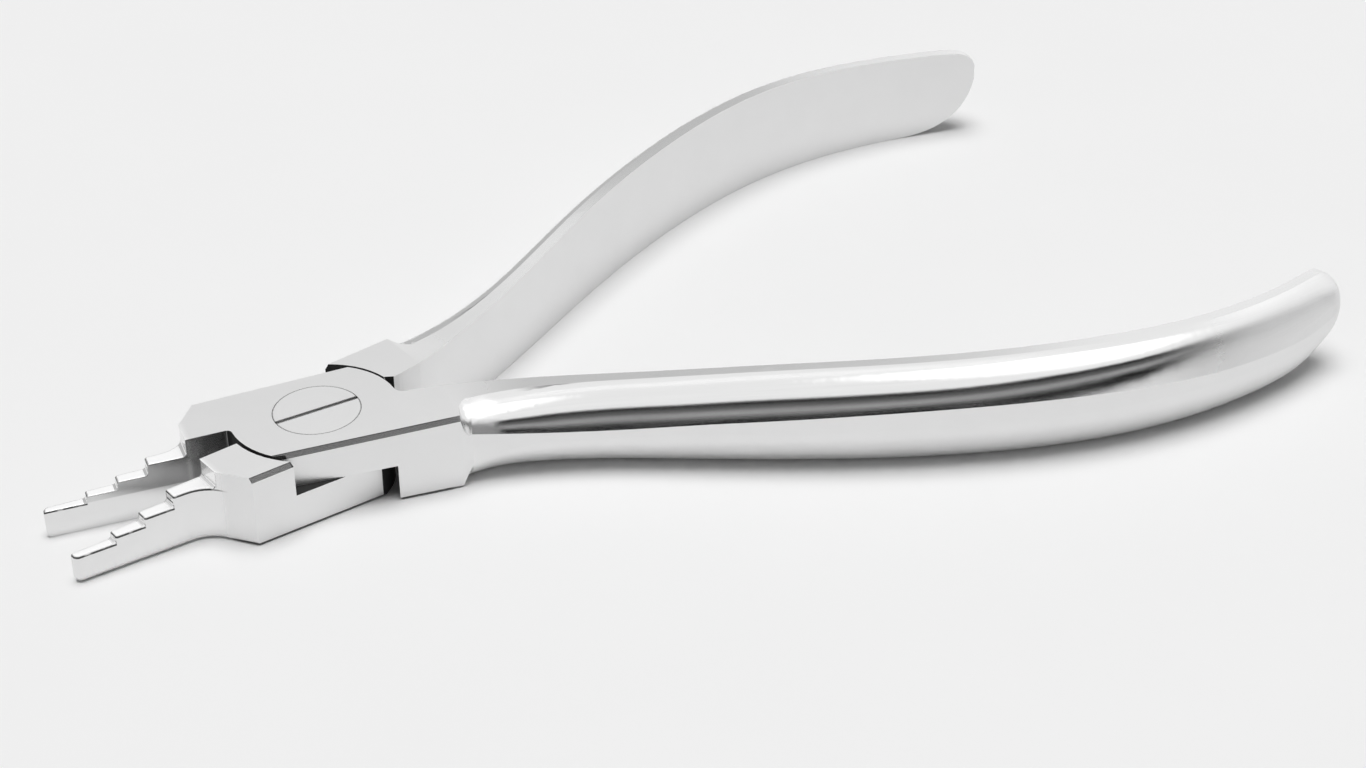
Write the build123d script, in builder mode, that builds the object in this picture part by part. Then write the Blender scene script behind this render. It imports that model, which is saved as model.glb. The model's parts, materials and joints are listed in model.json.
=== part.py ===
"""Loop-forming orthodontic pliers: two forged halves turning on a flush slotted screw.

Millimetres. The origin is on the pivot axis, on the flat underside of the joint. +X points to the
handle ends, the beaks point to -X, and +Z is up, towards the screw head.

Each half is drawn in the closed position, where both beaks meet on the X axis, and is then turned
about the pivot by half of the opening angle.
"""

import os
from bisect import bisect
from collections import namedtuple
from math import cos, exp, pi, radians, sin, sqrt, tan

from build123d import *

# Opening
opening_angle = 16.6  # between the two beaks, as the pliers lie
beak_gap = 0.04  # left between the closed beaks

# Lap joint
joint_thickness = 8.2  # at the pivot
joint_taper = 1.25  # degrees that the top falls towards the beaks
joint_half_width = 6.62  # at the pivot
side_flare = 1.9  # degrees that each side opens towards the handles
bevel_width = 0.22  # steep bevel along the joint's upper outer edges
bevel_height = 0.6
bottom_bevel = 0.25  # along the lower outer edges
jaw_shoulder_radius = 9.2  # hollow in each jaw block, around the other half's plate
jaw_gap = 0.42  # between a plate's rim and that hollow
upper_shoulder_radius = 8.53  # hollow in the lower half's handle block, around the upper plate
upper_gap = 0.25
under_shoulder_radius = 9.2  # hollow in the upper half's handle block, around the lower plate
under_gap = 1.85
relief_width = 0.55  # corner cut off each handle block between its hollow and its inner face
relief_slope = 35.0  # degrees from the inner face
lap_gap = 0.03  # between the two plates
front_corner_round = 0.6  # where a plate's rim runs into the inner face of its jaw
rear_corner_round = 1.1  # the same at its handle

# Pivot screw
head_radius = 4.43
head_height = 2.2
head_clearance = 0.05
shank_radius = 2.5
shank_clearance = 0.03
slot_width = 0.4
slot_depth = 1.0
screw_end_chamfer = 0.4

# Beaks
beak_reach = 27.8  # pivot to tip
tier_starts = (23.53, 20.43, 17.31)  # from the pivot to each riser
tier_heights = (3.05, 3.8, 4.7, 5.95)
tip_thickness = 0.9
beak_root_reach = 14.1  # where the outer face of the beak turns out to the jaw block
beak_root_thickness = 1.8
beak_root_radius = 3.6
jaw_front_reach = 13.35  # front face of the jaw block, above the last tier
jaw_corner_reach = 11.2  # outer front corner of the jaw block
riser_foot_radius = 0.4
riser_edge_radius = 0.22
tier_edge_round = 0.25  # outer top edges of the tiers
beak_bottom_round = 0.6
tip_corner_round = 0.6

# Handles
handle_root = 10.0  # where the inner faces start
root_inner = 0.25  # from the middle to the inner faces there
block_inner = 0.7  # the same where the squared block ends
handle_reach = 107.5  # pivot to the handle ends
block_end = 12.8  # end of the squared block
nose_end = 15.6  # end of the short scooped run into the rounded handle
nose_shares = (0.08, 0.25, 0.55)  # places of the sections along that run
nose_power = 2.4  # how early its outer edges open
handle_end_round = 11.0  # length over which the ends round off in height
top_end_power = 12  # how late the top turns down
bottom_end_power = 3  # how late the bottom turns up
handle_end_bull = 2.0  # length over which the ends round off in thickness
handle_end_height = 8.3  # height of the rounded ends' middle
inner_points = (  # plan of the inner faces: share of the handle's length, distance from the middle
    (0, 1.45),
    (0.09, 4.35),
    (0.265, 11.4),
    (0.483, 19.0),
    (0.723, 22.6),
    (0.907, 19.75),
    (1, 16.1),
)
top_points = (  # height along the top: share of the handle's length, height
    (0, 8.6),
    (0.155, 9.5),
    (0.32, 10.8),
    (0.483, 11.5),
    (0.657, 11.85),
    (0.897, 11.1),
    (1, 10.75),
)
thickness_points = (  # the same for the thickness, square to the inner faces
    (0, 5.6),
    (0.113, 4.4),
    (0.33, 3.9),
    (0.55, 3.8),
    (1, 3.9),
)
top_strip = 1.2  # flat along the top of the handles
nose_strip = 2.9  # the same next to the nose
bottom_strip = 0.3  # flat along the underside of the handles
nose_bottom_strip = 2.4  # the same next to the nose
strip_fade = 6.0  # length over which the top strip narrows
bottom_fade = 2.5  # the same for the underside
top_roundness_points = (  # share of the handle's length, share of the half height that is rounded above
    (0, 0.62),
    (0.05, 0.78),
    (0.1, 0.87),
    (0.27, 0.82),
    (0.5, 0.73),
    (0.65, 0.76),
    (0.8, 0.85),
    (1, 0.94),
)
bottom_roundness = 0.9  # the same below
nose_bottom_roundness = 0.55  # the same below, next to the nose
strip_fullness = 0.45  # how far the upper rounding bulges next to the top strip
side_fullness = 0.68  # the same next to the side
nose_side_fullness = 0.95  # the same next to the side, near the nose
side_fade = 14.0  # length over which it falls
bottom_fullness = 0.55  # the same for the lower rounding
strip_break = 0.05  # how much of a crease is left where the rounding meets the top strip
crease_angle = 17.5  # degrees of the crease where it meets the side, fading out towards the end
crease_power = 8  # how late it fades
handle_sections = 24
last_section = 0.9992  # share of the handle's length where its end is closed off

# Worked out from the above
half_turn = opening_angle / 2
parting_height = joint_thickness / 2
plate_front_radius = jaw_shoulder_radius - jaw_gap
blank_height = joint_thickness * 1.5
head_seat = joint_thickness - head_height

handle_length = handle_reach - nose_end

with BuildLine() as inner_line:
    Spline(*[(nose_end + share * handle_length, inner) for share, inner in inner_points])
inner_plan = inner_line.edge()

Section = namedtuple(
    "Section",
    "along inner slope thickness bottom top upper_strip upper_round lower_strip lower_round "
    "strip_full side_full lower_full strip_break side_lean lower_break",
)


def side_at(x):
    """Half width of the joint at x."""
    return joint_half_width + x * tan(radians(side_flare))


def top_at(x):
    """Height of the joint's top face at x."""
    return joint_thickness + x * tan(radians(joint_taper))


def smooth(points, share):
    """Smooth curve through a few points, read at a share of the handle's length."""
    spans = [after[0] - before[0] for before, after in zip(points, points[1:])]
    rises = [(after[1] - before[1]) / (after[0] - before[0]) for before, after in zip(points, points[1:])]
    pairs = zip(spans, spans[1:], rises, rises[1:])
    inside = [(rise0 * span1 + rise1 * span0) / (span0 + span1) for span0, span1, rise0, rise1 in pairs]
    slopes = [(3 * rises[0] - inside[0]) / 2] + inside + [(3 * rises[-1] - inside[-1]) / 2]
    n = min(max(bisect([point[0] for point in points], share), 1), len(points) - 1) - 1
    t = (share - points[n][0]) / spans[n]
    start = (1 + 2 * t) * (1 - t) ** 2 * points[n][1] + t * (1 - t) ** 2 * spans[n] * slopes[n]
    end = t * t * (3 - 2 * t) * points[n + 1][1] + t * t * (t - 1) * spans[n] * slopes[n + 1]
    return start + end


def shrink(x, length, power):
    """Share of the full size that is left at x on an end that rounds off over a length."""
    return sqrt(1 - max(0, 1 - (handle_reach - x) / length) ** power)


def faded(x, near, far, length):
    """Value that changes from the nose's to the handle's over a length."""
    return far + (near - far) * exp(-(x - nose_end) / length)


def handle_section(place):
    """Half-round section at a share of the handle's length, shrinking over the rounded end."""
    inner = inner_plan @ place
    along = inner_plan % place
    x = inner.X
    share = (x - nose_end) / handle_length
    ending = shrink(x, handle_end_bull, 2)
    bottom = handle_end_height * (1 - shrink(x, handle_end_round, bottom_end_power))
    rise = smooth(top_points, share) - handle_end_height
    top = handle_end_height + rise * shrink(x, handle_end_round, top_end_power)
    half_height = (top - bottom) / 2
    return Section(
        along=x,
        inner=inner.Y,
        slope=along.Y / along.X,
        thickness=smooth(thickness_points, share) * ending,
        bottom=bottom,
        top=top,
        upper_strip=faded(x, nose_strip, top_strip, strip_fade) * ending,
        upper_round=smooth(top_roundness_points, share) * half_height,
        lower_strip=faded(x, nose_bottom_strip, bottom_strip, bottom_fade) * ending,
        lower_round=faded(x, nose_bottom_roundness, bottom_roundness, bottom_fade) * half_height,
        strip_full=strip_fullness,
        side_full=faded(x, nose_side_fullness, side_fullness, side_fade),
        lower_full=bottom_fullness,
        strip_break=strip_break,
        side_lean=tan(radians(crease_angle)) * (1 - share**crease_power),
        lower_break=0,
    )


def block_section():
    """Squared section where the handle block ends, with the joint's straight bevels on its outer edges."""
    thickness = side_at(block_end) - block_inner
    return Section(
        along=block_end,
        inner=block_inner,
        slope=0,
        thickness=thickness,
        bottom=0,
        top=top_at(block_end),
        upper_strip=thickness - bevel_width,
        upper_round=bevel_height,
        lower_strip=thickness - bottom_bevel,
        lower_round=bottom_bevel,
        strip_full=1 / 3,
        side_full=1 / 3,
        lower_full=1 / 3,
        strip_break=1 / 3,
        side_lean=bevel_width / bevel_height,
        lower_break=1 / 3,
    )


def nose_section(place):
    """Section at a share of the scooped run: its outer edges open fast, the rest changes evenly."""
    scoop = 1 - (1 - place) ** nose_power
    evenly = "along inner slope thickness bottom top lower_round lower_full lower_break".split()
    shares = [place if name in evenly else scoop for name in Section._fields]
    ends = zip(shares, block_section(), handle_section(0))
    return Section(*[start + share * (end - start) for share, start, end in ends])


def turned(angle):
    """Ground plane turned about the pivot."""
    return Plane((0, 0, 0), x_dir=(cos(radians(angle)), sin(radians(angle)), 0), z_dir=(0, 0, 1))


def top_plane(ground):
    """Tapered top face of the joint."""
    along = ground.x_dir * cos(radians(joint_taper)) + ground.z_dir * sin(radians(joint_taper))
    return Plane((0, 0, joint_thickness), x_dir=along, z_dir=along.cross(ground.y_dir))


def half_disc(radius, start):
    """Outline of half a disc about the pivot, counterclockwise from an angle."""
    first = (radius * cos(radians(start)), radius * sin(radians(start)))
    with BuildLine() as outline:
        CenterArc((0, 0), radius, start, 180)
        Line((-first[0], -first[1]), first)
    return outline.edges()


def section_face(ground, side, at):
    """Face of a handle section: flat inner face, flat strips above and below, rounded back."""
    outward = ground.from_local_coords((-at.slope, -side, 0)).normalized()
    foot = ground.from_local_coords((at.along, -side * at.inner, 0))
    back = at.thickness
    upper = at.top - at.upper_round
    lower = at.bottom + at.lower_round
    upper_run = back - at.upper_strip
    lower_run = back - at.lower_strip
    lean = at.upper_round * at.side_full
    with BuildSketch(Plane(foot, x_dir=outward, z_dir=outward.cross(ground.z_dir))) as face:
        with BuildLine():
            Line((0, at.bottom), (0, at.top))
            Line((0, at.top), (at.upper_strip, at.top))
            Bezier(
                (at.upper_strip, at.top),
                (at.upper_strip + upper_run * at.strip_full, at.top - at.upper_round * at.strip_break),
                (back - lean * at.side_lean, upper + lean),
                (back, upper),
            )
            Line((back, upper), (back, lower))
            Bezier(
                (back, lower),
                (back - lower_run * at.lower_break, lower - at.lower_round * at.lower_full),
                (at.lower_strip + lower_run * at.lower_full, at.bottom + at.lower_round * at.lower_break),
                (at.lower_strip, at.bottom),
            )
            Line((at.lower_strip, at.bottom), (0, at.bottom))
        make_face()
    return face.sketch.face()


def half(turn, side, is_upper):
    """One forged half. Its beak is on the +Y side for side 1 and on the -Y side for side -1."""
    ground = turned(turn)
    upright = Plane((0, 0, 0), x_dir=ground.x_dir, z_dir=ground.y_dir * -1)
    end_plane = Plane(ground.from_local_coords((block_end, 0, 0)), x_dir=ground.y_dir, z_dir=ground.x_dir)
    plate_bottom = parting_height + lap_gap / 2 if is_upper else 0
    plate_top = blank_height if is_upper else parting_height - lap_gap / 2
    pocket_bottom = 0 if is_upper else plate_top
    pocket_top = plate_bottom if is_upper else blank_height
    hollow_rear = under_shoulder_radius if is_upper else upper_shoulder_radius
    rim_rear = upper_shoulder_radius - upper_gap if is_upper else under_shoulder_radius - under_gap

    def local(shape):
        return ground.to_local_coords(shape.center())

    with BuildPart() as body:
        # Jaw block and beak
        with BuildSketch(ground):
            with BuildLine():
                Polyline(
                    (-beak_reach, side * beak_gap / 2),
                    (0, side * beak_gap / 2),
                    (0, side * side_at(0)),
                    (-jaw_corner_reach, side * side_at(-jaw_corner_reach)),
                    (-beak_root_reach, side * beak_root_thickness),
                    (-beak_reach, side * tip_thickness),
                    close=True,
                )
            make_face()
            beak_root = vertices().sort_by_distance((-beak_root_reach, side * beak_root_thickness))[0]
            fillet(beak_root, beak_root_radius)
        extrude(amount=blank_height)

        # Handle block
        with BuildSketch(ground):
            with BuildLine():
                Polyline(
                    (0, -side * root_inner),
                    (handle_root, -side * root_inner),
                    (block_end, -side * block_inner),
                    (block_end, -side * side_at(block_end)),
                    (0, -side * side_at(0)),
                    close=True,
                )
            make_face()
        extrude(amount=blank_height)

        # Hollow for the other half's plate
        with BuildSketch(ground.offset(pocket_bottom)):
            make_face(half_disc(jaw_shoulder_radius, 90))
            make_face(half_disc(hollow_rear, -90))
            relief_top = root_inner + relief_width
            relief_run = 2 * relief_width / tan(radians(relief_slope))
            with BuildLine():
                Polyline(
                    (0, -side * relief_top),
                    (hollow_rear, -side * relief_top),
                    (hollow_rear + relief_run, -side * (relief_top - 2 * relief_width)),
                    (0, -side * (relief_top - 2 * relief_width)),
                    close=True,
                )
            make_face()
        extrude(amount=pocket_top - pocket_bottom, mode=Mode.SUBTRACT)

        # Lap plate, with rounded corners where its rim runs into the inner faces
        with BuildSketch(ground.offset(plate_bottom)):
            make_face(half_disc(plate_front_radius, 90))
            make_face(half_disc(rim_rear, -90))
            with BuildLine():
                Polyline(
                    (-jaw_shoulder_radius, side_at(-jaw_shoulder_radius)),
                    (jaw_shoulder_radius, side_at(jaw_shoulder_radius)),
                    (jaw_shoulder_radius, -side_at(jaw_shoulder_radius)),
                    (-jaw_shoulder_radius, -side_at(-jaw_shoulder_radius)),
                    close=True,
                )
            make_face(mode=Mode.INTERSECT)
            with BuildLine():
                Polyline(
                    (-jaw_corner_reach, side * beak_gap / 2),
                    (0, side * beak_gap / 2),
                    (0, side * shank_radius),
                    (-jaw_corner_reach, side * shank_radius),
                    close=True,
                )
            make_face()
            with BuildLine():
                Polyline(
                    (0, -side * root_inner),
                    (handle_root, -side * root_inner),
                    (handle_root, -side * shank_radius),
                    (0, -side * shank_radius),
                    close=True,
                )
            make_face()
            front_corner = vertices().sort_by_distance((-plate_front_radius, 0))[0]
            fillet(front_corner, front_corner_round)
            rear_corner = vertices().sort_by_distance((rim_rear, -side * root_inner))[0]
            fillet(rear_corner, rear_corner_round)
        extrude(amount=plate_top - plate_bottom)

        # Tapered top and bevelled sides
        split(bisect_by=top_plane(ground), keep=Keep.BOTTOM)
        width = side_at(block_end)
        narrowing = side_at(-beak_root_reach) - width
        rise = top_at(block_end)
        fall = top_at(-beak_root_reach) - rise
        bevels = ((rise, fall, bevel_width, bevel_height), (0, 0, bottom_bevel, -bottom_bevel))
        for way in (1, -1):
            for height, drop, across, down in bevels:
                run = Vector(-beak_root_reach - block_end, way * narrowing, drop)
                with BuildSketch(end_plane):
                    with BuildLine():
                        Polyline(
                            (way * (width + across), height + down),
                            (way * (width + across), height - 2 * down),
                            (way * (width - 2 * across), height + down),
                            close=True,
                        )
                    make_face()
                extrude(amount=run.length, dir=ground.from_local_coords(run), mode=Mode.SUBTRACT)

        # Rounded underside of the beak
        beak_side = ground.from_local_coords((-tier_starts[1], side * beak_root_thickness, 0))
        fillet(edges().sort_by_distance(beak_side)[0], beak_bottom_round)
        tip_bottom = edges().filter_by(
            lambda edge: local(edge).X < -beak_reach + 0.01 and local(edge).Z < beak_bottom_round
        )
        fillet(tip_bottom, tip_corner_round)

        # Steps of the beak
        with BuildSketch(upright):
            with BuildLine():
                Polyline(
                    (-beak_reach - tip_thickness, tier_heights[0]),
                    (-tier_starts[0], tier_heights[0]),
                    (-tier_starts[0], tier_heights[1]),
                    (-tier_starts[1], tier_heights[1]),
                    (-tier_starts[1], tier_heights[2]),
                    (-tier_starts[2], tier_heights[2]),
                    (-tier_starts[2], tier_heights[3]),
                    (-jaw_front_reach, tier_heights[3]),
                    (-jaw_front_reach, blank_height),
                    (-beak_reach - tip_thickness, blank_height),
                    close=True,
                )
            make_face()
            feet = zip(tier_starts + (jaw_front_reach,), tier_heights)
            fillet([vertices().sort_by_distance((-x, z))[0] for x, z in feet], riser_foot_radius)
            tops = zip(tier_starts, tier_heights[1:])
            fillet([vertices().sort_by_distance((-x, z))[0] for x, z in tops], riser_edge_radius)
        extrude(amount=joint_half_width * 2, both=True, mode=Mode.SUBTRACT)
        outer_top = edges().filter_by(lambda edge: abs(local(edge).Z - tier_heights[2]) < 0.01)
        outer_top = outer_top.filter_by(lambda edge: side * local(edge).Y > tip_thickness)
        fillet(outer_top, tier_edge_round)

        # Handle
        nose = [block_section()] + [nose_section(share) for share in nose_shares] + [handle_section(0)]
        loft([section_face(ground, side, section) for section in nose])
        places = [(1 - cos(pi * n / handle_sections)) / 2 for n in range(handle_sections)] + [last_section]
        loft([section_face(ground, side, handle_section(place)) for place in places])

        # Pivot hole
        with BuildSketch(Plane.XY):
            Circle(shank_radius + shank_clearance if is_upper else shank_radius)
        extrude(amount=blank_height, mode=Mode.SUBTRACT)
        if is_upper:
            with BuildSketch(Plane.XY.offset(head_seat - lap_gap)):
                Circle(head_radius + head_clearance)
            extrude(amount=blank_height, mode=Mode.SUBTRACT)
    return body


upper_half = half(-half_turn, 1, True)
lower_half = half(half_turn, -1, False)

with BuildPart() as pivot_screw:
    with BuildSketch(Plane.XY):
        Circle(shank_radius)
    extrude(amount=head_seat)
    chamfer(edges().group_by(Axis.Z)[0], screw_end_chamfer)
    with BuildSketch(Plane.XY.offset(head_seat)):
        Circle(head_radius)
    extrude(amount=head_height * 2)
    split(bisect_by=top_plane(Plane.XY), keep=Keep.BOTTOM)
    with BuildSketch(Plane.XY.offset(joint_thickness - slot_depth)):
        Rectangle(head_radius * 3, slot_width)
    extrude(amount=slot_depth * 2, mode=Mode.SUBTRACT)

os.makedirs("parts", exist_ok=True)
upper_half.part.label = "upper_half"
export_step(upper_half.part, "parts/upper_half.step")
lower_half.part.label = "lower_half"
export_step(lower_half.part, "parts/lower_half.step")
pivot_screw.part.label = "pivot_screw"
export_step(pivot_screw.part, "parts/pivot_screw.step")
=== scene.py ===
"""Orthodontic pliers lying open on a pale studio table, seen from the photograph's angle.

Metres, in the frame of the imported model. The CAD solids are shown as they are. This script adds the
camera, the table, the soft light and the finishes: satin steel on the flats, polished steel on the
rounded backs of the handles and on the bevels, and turned steel on the pivot screw.
"""

import json
from math import cos, radians, sin, tan

import bpy
from mathutils import Matrix, Vector

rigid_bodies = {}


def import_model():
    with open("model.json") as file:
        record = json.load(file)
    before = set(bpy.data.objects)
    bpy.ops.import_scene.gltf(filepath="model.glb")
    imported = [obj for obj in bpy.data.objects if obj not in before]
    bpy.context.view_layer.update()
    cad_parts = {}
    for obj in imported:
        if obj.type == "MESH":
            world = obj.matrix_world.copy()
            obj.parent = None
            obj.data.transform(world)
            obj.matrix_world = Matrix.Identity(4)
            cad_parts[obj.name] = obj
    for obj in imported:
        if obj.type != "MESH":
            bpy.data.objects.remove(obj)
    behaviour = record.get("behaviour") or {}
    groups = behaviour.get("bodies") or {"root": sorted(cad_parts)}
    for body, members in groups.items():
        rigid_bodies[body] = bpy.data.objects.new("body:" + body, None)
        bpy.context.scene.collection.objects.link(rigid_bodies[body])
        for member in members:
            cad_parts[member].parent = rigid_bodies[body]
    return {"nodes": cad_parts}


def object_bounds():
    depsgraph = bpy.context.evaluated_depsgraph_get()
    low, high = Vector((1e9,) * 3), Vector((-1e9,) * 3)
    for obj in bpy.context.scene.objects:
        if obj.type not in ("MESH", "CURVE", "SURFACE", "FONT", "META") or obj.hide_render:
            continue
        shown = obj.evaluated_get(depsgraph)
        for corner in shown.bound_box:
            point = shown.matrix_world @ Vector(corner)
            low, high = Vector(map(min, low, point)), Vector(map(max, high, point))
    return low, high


for left_over in list(bpy.data.objects):
    bpy.data.objects.remove(left_over)

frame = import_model()
cad_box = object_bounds()
scene = bpy.context.scene
scene.view_settings.view_transform = "Standard"


# ---------------------------------------------------------------- node helpers

# Dark, dull finish for painted shade in the gaps and recesses of the joint and the screw
PAINTED_SHADE_TONE = 0.012
PAINTED_SHADE_ROUGHNESS = 0.9


class Nodes:
    """Short ways to add and link shader nodes in one tree."""

    def __init__(self, tree):
        self.tree = tree
        tree.nodes.clear()

    def add(self, kind, settings=None, **inputs):
        made = self.tree.nodes.new(kind)
        for name, value in (settings or {}).items():
            setattr(made, name, value)
        for name, value in inputs.items():
            self.put(made.inputs[name.replace("_", " ")], value)
        return made

    def put(self, socket, value):
        if isinstance(value, bpy.types.NodeSocket):
            self.tree.links.new(value, socket)
        else:
            socket.default_value = value

    def math(self, operation, *values):
        made = self.tree.nodes.new("ShaderNodeMath")
        made.operation = operation
        for socket, value in zip(made.inputs, values):
            self.put(socket, value)
        return made.outputs[0]

    def product(self, first, *others):
        for other in others:
            first = self.math("MULTIPLY", first, other)
        return first

    def largest(self, first, *others):
        for other in others:
            first = self.math("MAXIMUM", first, other)
        return first

    def line(self, value, slope, start):
        """The start, plus the slope times the value."""
        return self.math("MULTIPLY_ADD", value, slope, start)

    def absolute(self, value):
        return self.math("ABSOLUTE", value)

    def step(self, value, low, high, start=0.0, end=1.0):
        """Smooth change from start to end while the value goes from low to high."""
        made = self.tree.nodes.new("ShaderNodeMapRange")
        made.interpolation_type = "SMOOTHSTEP"
        for socket, setting in zip(made.inputs, (value, low, high, start, end)):
            self.put(socket, setting)
        return made.outputs[0]

    def fade(self, value, low, high):
        """Smooth change from 1 to 0 while the value goes from low to high."""
        return self.step(value, low, high, 1.0, 0.0)

    def mix(self, share, first, second):
        made = self.add("ShaderNodeMix", {"data_type": "FLOAT"})
        for place, value in zip((0, 2, 3), (share, first, second)):
            self.put(made.inputs[place], value)
        return made.outputs[0]

    def mix_vectors(self, share, first, second):
        made = self.add("ShaderNodeMix", {"data_type": "VECTOR"})
        for place, value in zip((0, 4, 5), (share, first, second)):
            self.put(made.inputs[place], value)
        return made.outputs[1]

    def vector(self, x, y, z):
        return self.add("ShaderNodeCombineXYZ", X=x, Y=y, Z=z).outputs[0]

    def split(self, vector):
        return self.add("ShaderNodeSeparateXYZ", Vector=vector).outputs

    def unit(self, vector):
        made = self.add("ShaderNodeVectorMath", {"operation": "NORMALIZE"})
        self.put(made.inputs[0], vector)
        return made.outputs[0]

    def dot(self, first, second):
        made = self.add("ShaderNodeVectorMath", {"operation": "DOT_PRODUCT"})
        self.put(made.inputs[0], first)
        self.put(made.inputs[1], second)
        return made.outputs["Value"]

    def noise(self, vector, scale, detail=3.0, roughness=0.5):
        made = self.add(
            "ShaderNodeTexNoise", Vector=vector, Scale=scale, Detail=detail, Roughness=roughness
        )
        return made.outputs[0]

    def curve(self, value, points):
        """Smooth curve through a few points, the first at 0 and the last at 1."""
        low, high = min(y for _, y in points), max(y for _, y in points)
        made = self.add("ShaderNodeFloatCurve", Value=value)
        drawn = made.mapping.curves[0].points
        for (x, y), end in zip((points[0], points[-1]), (drawn[0], drawn[1])):
            end.location = (x, (y - low) / (high - low))
        for x, y in points[1:-1]:
            drawn.new(x, (y - low) / (high - low))
        made.mapping.update()
        return self.line(made.outputs[0], high - low, low)

    def grey(self, level):
        return self.add("ShaderNodeCombineColor", Red=level, Green=level, Blue=level).outputs[0]

    def metal(self, tone, rough, painted_shade, normal):
        """Bare metal, with dull painted shade on a share of it."""
        # The given share is painted shade: dark, dull and not metallic
        shader = self.add("ShaderNodeBsdfPrincipled", Base_Color=self.grey(self.mix(painted_shade, tone, PAINTED_SHADE_TONE)))
        self.put(shader.inputs["Roughness"], self.mix(painted_shade, rough, PAINTED_SHADE_ROUGHNESS))
        self.put(shader.inputs["Metallic"], self.math("SUBTRACT", 1.0, painted_shade))
        self.put(shader.inputs["Normal"], normal)
        self.add("ShaderNodeOutputMaterial", Surface=shader.outputs[0])


def material(name):
    made = bpy.data.materials.new(name)
    made.use_nodes = True
    return made, Nodes(made.node_tree)


# ---------------------------------------------------------------- camera

CAMERA_PLACE = (-0.07417, -0.19908, 0.14205)
CAMERA_AZIMUTH = 30.368  # degrees, 0 looks along +Y and 90 along +X
CAMERA_ELEVATION = 32.024  # degrees that it looks down
CAMERA_ROLL = -0.12  # degrees
CAMERA_LENS = 65.43
CAMERA_SENSOR = 36
CAMERA_NEAR = 0.005


def camera_matrix(place, azimuth, elevation, roll):
    """Camera that looks along an azimuth, down by an elevation."""
    a, e, r = radians(azimuth), radians(elevation), radians(roll)
    ahead = Vector((cos(e) * sin(a), cos(e) * cos(a), -sin(e)))
    level = Vector((cos(a), -sin(a), 0))
    raised = Vector((sin(e) * sin(a), sin(e) * cos(a), cos(e)))
    right = level * cos(r) + raised * sin(r)
    up = raised * cos(r) - level * sin(r)
    turn = Matrix((right, up, -ahead)).transposed().to_4x4()
    return Matrix.Translation(place) @ turn


camera_data = bpy.data.cameras.new("photo_camera")
camera_data.sensor_width = CAMERA_SENSOR
camera_data.lens = CAMERA_LENS
camera_data.clip_start = CAMERA_NEAR
camera = bpy.data.objects.new("photo_camera", camera_data)
camera.matrix_world = camera_matrix(CAMERA_PLACE, CAMERA_AZIMUTH, CAMERA_ELEVATION, CAMERA_ROLL)
scene.collection.objects.link(camera)
scene.camera = camera


# ---------------------------------------------------------------- table

TABLE_HALF = 4.0
TABLE_CLEARANCE = 0.00001  # below the pliers
TABLE_TONE, TABLE_VARIATION = 0.88, 0.02
TABLE_GRAIN = 35.0  # noise scale
TABLE_ROUGHNESS = 0.9
TABLE_SPECULAR = 0.1

table_mesh = bpy.data.meshes.new("table")
corners = ((-1, -1), (1, -1), (1, 1), (-1, 1))
table_mesh.from_pydata([(TABLE_HALF * x, TABLE_HALF * y, 0) for x, y in corners], [], [(0, 1, 2, 3)])
table = bpy.data.objects.new("table", table_mesh)
table.location.z = cad_box[0][2] - TABLE_CLEARANCE
scene.collection.objects.link(table)

table_finish, n = material("pale_table")
table_grain = n.noise(n.add("ShaderNodeTexCoord").outputs["Object"], TABLE_GRAIN)
table_shader = n.add(
    "ShaderNodeBsdfPrincipled",
    Base_Color=n.grey(n.line(table_grain, TABLE_VARIATION, TABLE_TONE)),
    Roughness=TABLE_ROUGHNESS,
    Specular_IOR_Level=TABLE_SPECULAR,
)
n.add("ShaderNodeOutputMaterial", Surface=table_shader.outputs[0])
table_mesh.materials.append(table_finish)


# ---------------------------------------------------------------- light

SKY_LEVEL = 1.0
FAR_LEVEL = 0.58  # low on the far side, behind the pliers
DARK_LEVEL = 0.012  # floor line and top line of the unlit part of the room, on the camera's side
STREAK_LEVEL = 0.40  # lighter line above the floor line
DIM_LEVEL = 0.11  # the rest of the unlit part
SOFTBOX_LEVEL = 0.55  # more than the sky
SOFTBOX_AZIMUTH = 168.0
SOFTBOX_ELEVATION = 45.0
ROOM_LEVEL = 0.16  # light on the table from all round
OVERHEAD_LEVEL = 7.0  # light on the table from above
CAMERA_SIDE = (-0.51, -0.86)  # level direction towards the camera

# Where these parts of the room run into each other. A height is the sine of an elevation
FAR_TOP, FAR_EAST, FAR_FRONT = (0.53, 0.59), (0.46, 0.58), (-0.45, -0.05)
SOFTBOX_RIM = (0.86, 0.95)  # cosine of the angle from its middle
FLOOR_LINE_TOP = (0.056, 0.072)
STREAK_TOP = (0.092, 0.125)
TOP_LINE_FOOT = (0.15, 0.175)
UNLIT_TOP, UNLIT_BACK = (0.20, 0.23), (-0.35, 0.15)
OVERHEAD_RIM = (0.90, 0.98)

world = bpy.data.worlds.new("studio")
world.use_nodes = True
scene.world = world
n = Nodes(world.node_tree)
direction = n.add("ShaderNodeTexCoord").outputs["Generated"]
east, north, height = n.split(direction)
toward_camera = n.line(east, CAMERA_SIDE[0], n.product(north, CAMERA_SIDE[1]))

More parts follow.
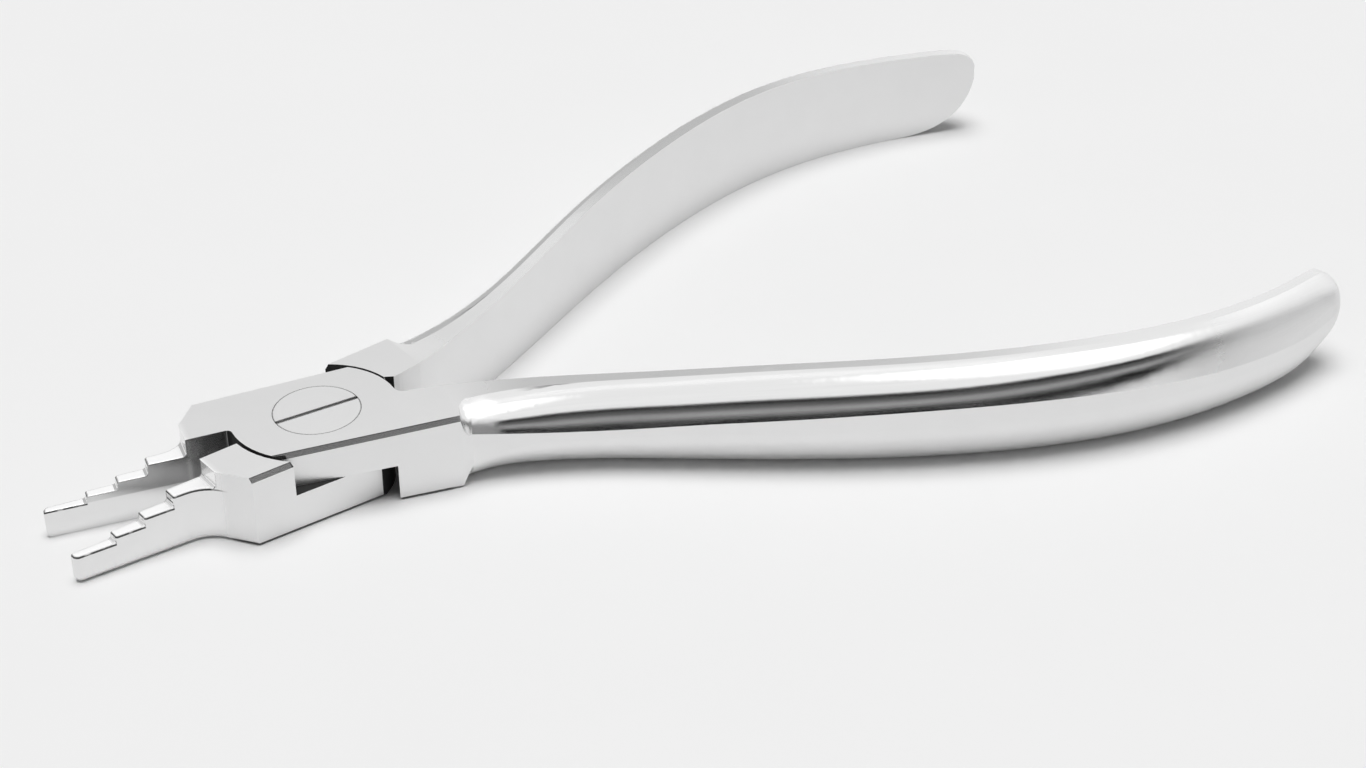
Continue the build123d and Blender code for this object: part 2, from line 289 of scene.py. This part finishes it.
# What the steel mirrors: a white room, less bright low down behind the pliers, with an unlit strip
# low down on the camera's side and a softbox above it
far_side = n.product(
    n.fade(height, *FAR_TOP), n.fade(east, *FAR_EAST), n.fade(toward_camera, *FAR_FRONT)
)
sky = n.mix(far_side, SKY_LEVEL, FAR_LEVEL)
a, e = radians(SOFTBOX_AZIMUTH), radians(SOFTBOX_ELEVATION)
to_softbox = n.dot(direction, (cos(e) * sin(a), cos(e) * cos(a), sin(e)))
sky = n.line(n.step(to_softbox, *SOFTBOX_RIM), SOFTBOX_LEVEL, sky)
dark = n.mix(n.step(height, *FLOOR_LINE_TOP), DARK_LEVEL, STREAK_LEVEL)
dark = n.mix(n.step(height, *STREAK_TOP), dark, DIM_LEVEL)
dark = n.mix(n.step(height, *TOP_LINE_FOOT), dark, DARK_LEVEL)
unlit = n.product(n.fade(height, *UNLIT_TOP), n.step(toward_camera, *UNLIT_BACK))
mirrored = n.mix(unlit, sky, dark)

# What lights the table, straight or by way of the steel: mostly a large soft light overhead
falling = n.line(n.step(height, *OVERHEAD_RIM), OVERHEAD_LEVEL, ROOM_LEVEL)

path = n.add("ShaderNodeLightPath").outputs
not_by_table = n.math("LESS_THAN", path["Diffuse Depth"], 0.5)
level = n.mix(n.product(path["Is Glossy Ray"], not_by_table), falling, mirrored)
level = n.mix(path["Is Camera Ray"], level, 1.0)
lit = n.add("ShaderNodeBackground", Color=n.grey(level), Strength=1.0)
n.add("ShaderNodeOutputWorld", Surface=lit.outputs[0])


# ---------------------------------------------------------------- shape of the parts

# Lengths in millimetres. They follow the CAD source, but the handles' rounded backs have one width
# and one crease all along here
MM = 1000.0  # object coordinates to millimetres
HALF_TURN = 8.3  # degrees that each half is turned from the closed position
LAP_HEIGHT = 4.1  # where the two halves slide on each other
TIER_STARTS = (-23.53, -20.43, -17.31)  # risers of the beaks
TIER_HEIGHTS = (3.05, 3.8, 4.7, 5.95)
RISER_SPREAD = 0.01
HANDLE_START, HANDLE_LENGTH = 15.6, 91.9  # rounded part of the handles
HANDLE_TOP = (  # share of the handle's length, height
    (0, 8.6), (0.155, 9.5), (0.32, 10.8), (0.483, 11.5), (0.657, 11.85), (0.897, 11.1), (1, 10.75)
)
HANDLE_ROUNDNESS = (  # share of the handle's length, share of its half height that is rounded
    (0, 0.62), (0.05, 0.78), (0.1, 0.87), (0.27, 0.82), (0.5, 0.73), (0.65, 0.76), (0.8, 0.85), (1, 0.94)
)
BACK_WIDTH = 2.75  # of that rounding, beside the flat top
STRIP_FULLNESS, STRIP_BREAK = 0.45, 0.05  # its bulge and its crease at the flat top
SIDE_FULLNESS, NOSE_FULLNESS, FULLNESS_FADE = 0.68, 0.95, 14.0  # its bulge at the side
CREASE_LEAN = tan(radians(17.3))  # of the crease at the side
NEWTON_STEPS = 4

# How edges and narrow gaps are found. The two lengths are in metres, for Blender's own nodes
BEVEL_RADIUS, BEVEL_SAMPLES = 0.00022, 6
EDGE_LEAN = (0.10, 0.25)
GAP_REACH, GAP_SAMPLES = 0.0005, 6
GAP_OPENNESS = (0.20, 0.55)
OFF_TABLE = (0.3, 1.2)  # heights at which the table no longer counts as a gap


class Surface:
    """A point of a part: its place in millimetres, its normals, its edges and its narrow gaps."""

    def __init__(self, n, turn=0.0):
        self.n = n
        coordinates = n.add("ShaderNodeTexCoord").outputs
        scaled = n.add("ShaderNodeVectorMath", {"operation": "SCALE"}, Scale=MM)
        n.put(scaled.inputs[0], coordinates["Object"])
        self.place = scaled.outputs[0]
        east, north, self.height = n.split(self.place)
        normal_east, normal_north, self.upward = n.split(coordinates["Normal"])
        c, s = cos(radians(turn)), sin(radians(turn))
        self.along = n.line(north, s, n.product(east, c))
        self.off_middle = n.absolute(n.line(east, -s, n.product(north, c)))
        self.reach = n.math("SQRT", n.line(east, east, n.product(north, north)))
        radial = n.line(east, normal_east, n.product(north, normal_north))
        self.radial = n.absolute(n.math("DIVIDE", radial, self.reach))
        self.sideways = n.absolute(n.line(normal_east, -s, n.product(normal_north, c)))
        self.normal = n.add("ShaderNodeNewGeometry").outputs["Normal"]
        bevel = n.add("ShaderNodeBevel", {"samples": BEVEL_SAMPLES}, Radius=BEVEL_RADIUS)
        self.rounded = bevel.outputs[0]
        # How closed in a point is, for painted shade in narrow gaps off the table
        open_air = n.add("ShaderNodeAmbientOcclusion", {"samples": GAP_SAMPLES}, Distance=GAP_REACH)
        narrow = n.fade(open_air.outputs["AO"], *GAP_OPENNESS)
        self.gap = n.product(n.step(self.height, *OFF_TABLE), narrow)

    def edge(self, flatness):
        """Lines along edges that aren't upright, where the rounded normal leaves the plain one."""
        _, _, upward = self.n.split(self.rounded)
        leaning = self.n.step(self.n.absolute(upward), *EDGE_LEAN)
        return self.n.product(leaning, self.n.fade(self.n.dot(self.rounded, self.normal), *flatness))


def back_normal(n, at):
    """Smooth normal of the handles' rounded backs, from the place on their section's curve.

    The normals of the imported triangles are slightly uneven, which shows in sharp reflections.
    """
    distance = n.math("SUBTRACT", at.along, HANDLE_START)
    share = n.math("DIVIDE", distance, HANDLE_LENGTH)
    top = n.curve(share, HANDLE_TOP)
    tall = n.product(top, 0.5, n.curve(share, HANDLE_ROUNDNESS))
    level = n.math("DIVIDE", n.math("SUBTRACT", at.height, n.math("SUBTRACT", top, tall)), tall)
    level = n.math("MINIMUM", n.largest(level, 0.0), 1.0)
    fading = n.math("EXPONENT", n.math("DIVIDE", distance, -FULLNESS_FADE))
    full = n.line(fading, NOSE_FULLNESS - SIDE_FULLNESS, SIDE_FULLNESS)

    # The curve is a cubic Bezier from the side, w = 0, to the flat top, w = 1. Its height is
    # w * (first + w * (second + w * third)), and Newton's steps find w from the height
    shoulder = 3 * (1 - STRIP_BREAK)
    first = n.product(full, 3.0)
    second = n.line(full, -6.0, shoulder)
    third = n.line(full, 3.0, 1 - shoulder)

    def climb(w):
        inside = n.line(n.product(third, 3.0), w, n.product(second, 2.0))
        return n.line(w, inside, first)

    w = n.product(level, 0.5)
    for _ in range(NEWTON_STEPS):
        reached = n.line(w, n.line(w, third, second), first)
        missing = n.math("SUBTRACT", level, n.product(w, reached))
        w = n.math("ADD", w, n.math("DIVIDE", missing, climb(w)))

    # The normal rises by how far the curve runs inwards there for each length that it climbs
    tuck = n.product(full, CREASE_LEAN, n.math("DIVIDE", tall, BACK_WIDTH))
    square = n.line(tuck, 9.0, 9 * STRIP_FULLNESS - 6.0)
    straight = n.line(tuck, -12.0, 6.0 - 6 * STRIP_FULLNESS)
    run = n.line(n.line(square, w, straight), w, n.product(tuck, 3.0))
    rise = n.math("DIVIDE", n.product(run, BACK_WIDTH), n.product(climb(w), tall))
    east, north, _ = n.split(at.normal)
    east, north, _ = n.split(n.unit(n.vector(east, north, 0.0)))
    return n.unit(n.vector(east, north, rise))


# ---------------------------------------------------------------- steel

# Where the finish changes along a half, in millimetres from the pivot
BEAK_INNER_SPAN = (-24.0, -13.5)
BEAK_ROOT = (-13.6, -12.6)
FOOT_START = (-13.0, -12.0)
JAW_END = (-9.5, -8.5)
REAR_CORNERS = (2.0, 2.5)
NOSE_START, NOSE_END = (12.3, 13.0), (16.0, 17.5)
BACK_START, BACK_END = (16.0, 17.0), (86.0, 95.0)
RIM_START, RIM_END = (19.0, 22.0), (62.0, 76.0)
HANDLE_END = (78.0, 98.0)
# The same with the distance from the pivot's axis
WALL_START, WALL_END = (7.15, 7.25), (10.3, 10.6)
HANDLE_RUN = (13.2, 14.2)
STRIP_RUN = (13.5, 22.0)
# The same with the distance from a half's middle plane
INNER_FACE = (0.1, 0.3)
FACET_WIDTH = (1.25, 1.45)
# The same with the height, or the distance from the lap or below a tier's top
FOOT_HEIGHT = (0.22, 0.32)
BEAK_INNER_HEIGHT = (3.0, 3.15)
LAP_PLAY = (0.03, 0.06)
TIER_LINE_TOP, TIER_LINE_FOOT = (0.03, 0.07), (0.20, 0.26)
# The same with the upward part of the normal, 0 on upright faces and 1 on flat tops
UNDERSIDE = (-0.3, -0.1)
UPRIGHT = (0.05, 0.12)
ROUNDED_SIDE, ROUNDED_TOP = (0.03, 0.10), (0.987, 0.992)
RIM_SIDE, RIM_TOP = (0.970, 0.975), (0.984, 0.987)
STRIP_FLAT = (0.985, 0.99)
TIER_FLAT = (0.9, 0.97)
TIER_SIDE = (0.80, 0.90)
LAP_FLAT = (0.90, 0.95)
# The same with how far a face looks to or from the pivot, or sideways
ROUND_WALL = (0.94, 0.98)
FACET_WALL = (0.25, 0.40)
CORNER_WALL = (0.965, 0.99)
# The same with how far the rounded normal agrees with the plain one
BEVEL_EDGE = (0.955, 0.998)
SCREW_EDGE = (0.93, 0.99)

# Noise: scale, detail and roughness, and the stretch of what isn't even all ways
GRAIN = (9.0, 4.0, 0.6)
CLOUD = (0.22, 2.0)
FINE_CLOUD = (1.1, 3.0)
STROKES, STROKES_ALONG, STROKES_ROUND = (1.0, 5.0, 0.65), 0.05, 26.0
FINE_STROKES, FINE_STROKES_ALONG, FINE_STROKES_ROUND = (1.0, 3.0), 0.12, 120.0
FINE_STROKES_PLACE = 3.0  # keeps them apart from the other strokes
RINGS, RINGS_OUTWARD = (1.0, 4.0, 0.6), 6.0

# Tones and roughnesses, with how much noise adds to them
SATIN_TONE, SATIN_VARIATION, SATIN_ROUGHNESS = 0.77, 0.03, 0.30
POLISH_TONE, POLISH_VARIATION, POLISH_ROUGHNESS = 0.75, 0.10, 0.02
TIER_TONE, TIER_VARIATION, TIER_ROUGHNESS = 0.88, 0.10, 0.45
ROUGHNESS_VARIATION = 0.10
BEAK_ROUGHNESS = 0.13
STRIP_ROUGHNESS = 0.16
NOSE_ROUGHNESS = 0.2
END_ROUGHNESS = 0.36
UNDERSIDE_ROUGHNESS = 0.5
# Painted dark lines: reflections along bevels and tier tops, contact shadow along the joint's foot
PAINTED_LINE_TONE, PAINTED_LINE_COVER = 0.03, 0.85
TIER_LINE_CLOUD, TIER_LINE_COVER = (0.25, 0.5), (0.45, 0.95)
BEAK_INNER_TONES = (0.66, 0.34)  # from the tips of the beaks to their roots
RIM_TONE = 0.20
RIM_CLOUD, RIM_COVER = (0.40, 0.55), (0.25, 0.75)
# Painted dark reflection on the jaws' inner faces
JAW_REFLECTION_TONE, JAW_VARIATION = 0.30, 0.25
SCREW_TONE, SCREW_RINGS, SCREW_GRAIN = 0.78, 0.04, 0.03
SCREW_ROUGHNESS, SCREW_ROUGHNESS_VARIATION = 0.27, 0.08
# Painted shade along the edges of the screw head
SCREW_EDGE_SHADE_TONE, SCREW_EDGE_SHADE_COVER = 0.06, 0.8
BEAK_SOFTNESS = 0.5  # share of the rounded normal on the beaks
BUMP_STRENGTH, BUMP_HEIGHT = 0.06, 0.00003


def pliers_steel(name, turn):
    """Forged steel: satin flats, polished backs, bevels and beaks, painted shade in the joint's gaps and
    recesses, and painted dark lines along edges.
    """
    made, n = material(name)
    at = Surface(n, turn)
    upright = n.fade(n.absolute(at.upward), *UPRIGHT)

    # Rounded backs and bevels are polished, and so are the beaks and the jaws' inner faces
    polished = n.product(n.step(at.upward, *ROUNDED_SIDE), n.fade(at.upward, *ROUNDED_TOP))
    beak = n.fade(at.along, *BEAK_ROOT)
    inner = n.product(upright, n.fade(at.off_middle, *INNER_FACE), n.fade(at.along, *JAW_END))
    strip = n.product(n.step(at.reach, *STRIP_RUN), n.step(at.upward, *STRIP_FLAT))
    nose = n.product(n.step(at.along, *NOSE_START), n.fade(at.along, *NOSE_END))
    joint = n.math("SUBTRACT", 1.0, n.step(at.reach, *HANDLE_RUN))
    tier = n.product(beak, n.step(at.upward, *TIER_FLAT))
    beak_top = TIER_HEIGHTS[0]
    for start, low, high in zip(TIER_STARTS, TIER_HEIGHTS, TIER_HEIGHTS[1:]):
        riser = n.step(at.along, start - RISER_SPREAD, start + RISER_SPREAD)
        beak_top = n.line(riser, high - low, beak_top)
    below_top = n.math("SUBTRACT", beak_top, at.height)

    # The polished backs of the handles mirror the room by their section's curve
    back = n.product(polished, n.step(at.along, *BACK_START), n.fade(at.along, *BACK_END))
    normal = n.mix_vectors(back, at.normal, back_normal(n, at))
    _, _, turned_up = n.split(normal)

    # Satin grain and the lengthwise strokes of the polishing wheel
    grain = n.noise(at.place, *GRAIN)
    cloud = n.noise(at.place, *CLOUD)
    fine_cloud = n.noise(at.place, *FINE_CLOUD)
    along, around = n.product(at.along, STROKES_ALONG), n.product(turned_up, STROKES_ROUND)
    strokes = n.noise(n.vector(along, around, 0.0), *STROKES)
    along, around = n.product(at.along, FINE_STROKES_ALONG), n.product(turned_up, FINE_STROKES_ROUND)
    fine_strokes = n.noise(n.vector(along, around, FINE_STROKES_PLACE), *FINE_STROKES)

    tone = n.line(cloud, SATIN_VARIATION, n.line(grain, SATIN_VARIATION, SATIN_TONE))
    tone = n.mix(tier, tone, n.line(grain, TIER_VARIATION, TIER_TONE))
    tone = n.mix(polished, tone, n.line(strokes, POLISH_VARIATION, POLISH_TONE))
    rough = n.line(grain, ROUGHNESS_VARIATION, SATIN_ROUGHNESS)
    rough = n.mix(n.largest(beak, inner), rough, BEAK_ROUGHNESS)
    rough = n.mix(strip, rough, STRIP_ROUGHNESS)
    rough = n.mix(tier, rough, TIER_ROUGHNESS)
    polish_rough = n.mix(n.step(at.along, *HANDLE_END), POLISH_ROUGHNESS, END_ROUGHNESS)
    polish_rough = n.line(fine_strokes, ROUGHNESS_VARIATION, polish_rough)
    polish_rough = n.mix(nose, polish_rough, NOSE_ROUGHNESS)
    rough = n.mix(polished, rough, polish_rough)
    rough = n.mix(n.fade(at.upward, *UNDERSIDE), rough, UNDERSIDE_ROUGHNESS)

    # Painted shade: the sliding faces, the walls of the joint and its narrow gaps lie in shade, and are
    # made dark and dull
    off_lap = n.absolute(n.math("SUBTRACT", at.height, LAP_HEIGHT))
    sliding = n.product(n.fade(off_lap, *LAP_PLAY), n.step(n.absolute(at.upward), *LAP_FLAT))
    facet = n.product(n.step(at.radial, *FACET_WALL), n.fade(at.off_middle, *FACET_WIDTH))
    corner = n.product(n.fade(at.sideways, *CORNER_WALL), n.step(at.along, *REAR_CORNERS))
    wall = n.largest(n.step(at.radial, *ROUND_WALL), facet, corner)
    wall = n.product(wall, n.step(at.reach, *WALL_START), upright, n.fade(at.reach, *WALL_END))
    shaded_recesses = n.largest(sliding, wall, at.gap)

    # Painted dark lines: painted dark reflections along the joint's bevels and under the tops of the tiers,
    # and a painted contact shadow along the joint's foot
    bevel = n.product(at.edge(BEVEL_EDGE), polished, joint)
    foot_shadow = n.product(n.fade(at.height, *FOOT_HEIGHT), n.fade(at.upward, *UPRIGHT))
    foot_shadow = n.product(foot_shadow, joint, n.step(at.along, *FOOT_START))
    tier_line = n.product(n.step(below_top, *TIER_LINE_TOP), n.fade(below_top, *TIER_LINE_FOOT))
    tier_line = n.product(tier_line, beak, n.fade(at.upward, *TIER_SIDE))
    tier_line = n.product(tier_line, n.step(fine_cloud, *TIER_LINE_CLOUD, *TIER_LINE_COVER))
    painted_lines = n.largest(n.product(n.largest(bevel, foot_shadow), PAINTED_LINE_COVER), tier_line)
    tone = n.mix(painted_lines, tone, PAINTED_LINE_TONE)

    # Inner faces of the beaks darker high up and towards their roots, a broken line beside the handles'
    # flat tops, and painted dark reflection on the jaws' inner faces
    darker_inner = n.product(inner, beak, n.step(at.height, *BEAK_INNER_HEIGHT))
    tone = n.mix(darker_inner, tone, n.step(at.along, *BEAK_INNER_SPAN, *BEAK_INNER_TONES))
    rim = n.product(n.step(at.upward, *RIM_SIDE), n.fade(at.upward, *RIM_TOP))
    rim = n.product(rim, n.step(at.along, *RIM_START), n.fade(at.along, *RIM_END))
    tone = n.mix(n.product(rim, n.step(cloud, *RIM_CLOUD, *RIM_COVER)), tone, RIM_TONE)
    # Painted dark reflection of the shaded table on the jaws' inner faces
    jaw_shade_reflection = n.product(inner, n.fade(beak, 0.0, 1.0))
    tone = n.mix(jaw_shade_reflection, tone, n.line(fine_strokes, JAW_VARIATION, JAW_REFLECTION_TONE))

    # Beak edges catch the light as if slightly rounded
    normal = n.mix_vectors(n.product(beak, BEAK_SOFTNESS), normal, at.rounded)
    bump = n.add(
        "ShaderNodeBump", Strength=BUMP_STRENGTH, Distance=BUMP_HEIGHT, Height=grain, Normal=normal
    )
    n.metal(tone, rough, shaded_recesses, bump.outputs[0])
    return made


def turned_steel(name):
    """Screw steel, with the rings that the lathe left."""
    made, n = material(name)
    at = Surface(n)
    outward, upward = n.product(at.reach, RINGS_OUTWARD), n.product(at.height, RINGS_OUTWARD)
    rings = n.noise(n.vector(outward, upward, 0.0), *RINGS)
    grain = n.noise(at.place, *GRAIN)
    tone = n.line(rings, SCREW_RINGS, n.line(grain, SCREW_GRAIN, SCREW_TONE))
    # Painted shade: a dark line along the screw head's edges
    tone = n.mix(n.product(at.edge(SCREW_EDGE), SCREW_EDGE_SHADE_COVER), tone, SCREW_EDGE_SHADE_TONE)
    rough = n.line(rings, SCREW_ROUGHNESS_VARIATION, SCREW_ROUGHNESS)
    rough = n.line(grain, SCREW_ROUGHNESS_VARIATION, rough)
    bump = n.add("ShaderNodeBump", Strength=BUMP_STRENGTH, Distance=BUMP_HEIGHT, Height=rings)
    # Painted shade in the screw's narrow gaps, dark and dull
    n.metal(tone, rough, at.gap, bump.outputs[0])
    return made


finishes = {
    "upper_half": pliers_steel("pliers_steel_upper", -HALF_TURN),
    "lower_half": pliers_steel("pliers_steel_lower", HALF_TURN),
    "pivot_screw": turned_steel("screw_steel_turned"),
}
for node, finish in finishes.items():
    for slot in frame["nodes"][node].material_slots:
        slot.material = finish
